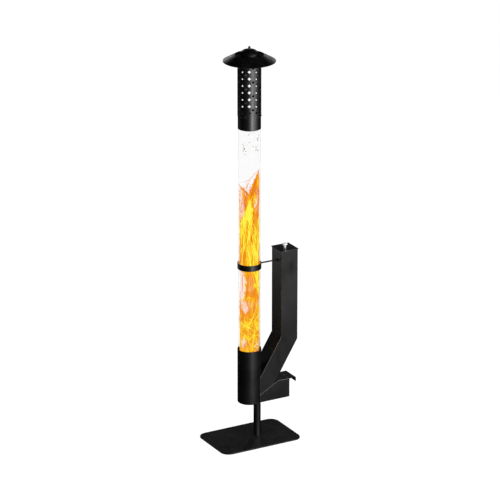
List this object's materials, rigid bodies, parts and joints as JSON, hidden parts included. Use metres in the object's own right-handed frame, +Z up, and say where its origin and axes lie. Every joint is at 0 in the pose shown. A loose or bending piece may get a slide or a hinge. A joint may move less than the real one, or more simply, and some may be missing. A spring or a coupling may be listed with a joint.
{
  "type": "outdoor heater",
  "caption": "Pellet patio heater: base plate and post, burner with ash drawer, square hopper with chute, tall glass flame tube, perforated chimney and rain hat.",
  "frame": {"origin": "on the ground, under the axis of the burner and the glass tube", "axes": "+Z up along the glass, +X from the burner towards the hopper and the drawer handle, +Y across"},
  "size_m": [0.4345, 0.272, 1.8825],
  "materials": {
    "powder_coat": "black satin powder coat",
    "black_fixings": "black oxide steel",
    "plain_steel": "bare mild steel, heat darkened",
    "stainless": "stainless steel, heat tinted",
    "zinc_fixings": "zinc plated steel",
    "chrome_knob": "polished chrome",
    "clear_glass": "clear borosilicate glass",
    "glass_fibre": "woven glass fibre tape"
  },
  "bodies": {
    "stand": {"base_plate": "powder_coat", "post_tube": "powder_coat", "post_foot_plug": "plain_steel", "post_head_plug": "plain_steel", "base_screw": "zinc_fixings", "mast_bolt": "zinc_fixings", "burner_floor": "powder_coat", "burner_housing": "powder_coat", "pot_ledge": "plain_steel", "burn_pot": "stainless", "fire_grate": "stainless", "glass_seat": "plain_steel", "seat_gasket": "glass_fibre", "hopper_tube": "powder_coat", "feed_slide": "powder_coat", "ash_box": "powder_coat", "drawer_rails": "plain_steel", "support_ring": "powder_coat", "ring_gasket": "glass_fibre", "support_rod": "powder_coat", "rod_nuts": "black_fixings"},
    "hopper_lid": {"hopper_lid": "powder_coat", "lid_frame": "plain_steel", "lid_knob": "chrome_knob", "knob_screw": "zinc_fixings"},
    "ash_drawer": {"ash_tray": "plain_steel", "drawer_front": "powder_coat", "drawer_rivets": "black_fixings"},
    "glass": {"glass_tube": "clear_glass"},
    "stack": {"stack_collar": "powder_coat", "collar_gasket": "glass_fibre", "collar_stop_ring": "plain_steel", "perforated_stack": "powder_coat", "hat_bracket": "plain_steel", "hat_brim": "powder_coat", "hat_cap": "powder_coat", "hat_stud": "zinc_fixings", "stud_nuts": "zinc_fixings", "finial_nut": "black_fixings", "bracket_screws": "black_fixings", "collar_screws": "black_fixings"}
  },
  "joints": [
    {"name": "lid_lift", "type": "slide", "parent": "stand", "child": "hopper_lid", "axis": [0, 0, 1], "range_m": [0, 0.12]},
    {"name": "drawer_slide", "type": "slide", "parent": "stand", "child": "ash_drawer", "axis": [1, 0, 0], "range_m": [0, 0.24]},
    {"name": "glass_lift", "type": "slide", "parent": "stand", "child": "glass", "axis": [0, 0, 1], "range_m": [0, 0.45]},
    {"name": "stack_lift", "type": "slide", "parent": "glass", "child": "stack", "axis": [0, 0, 1], "range_m": [0, 0.1]}
  ]
}
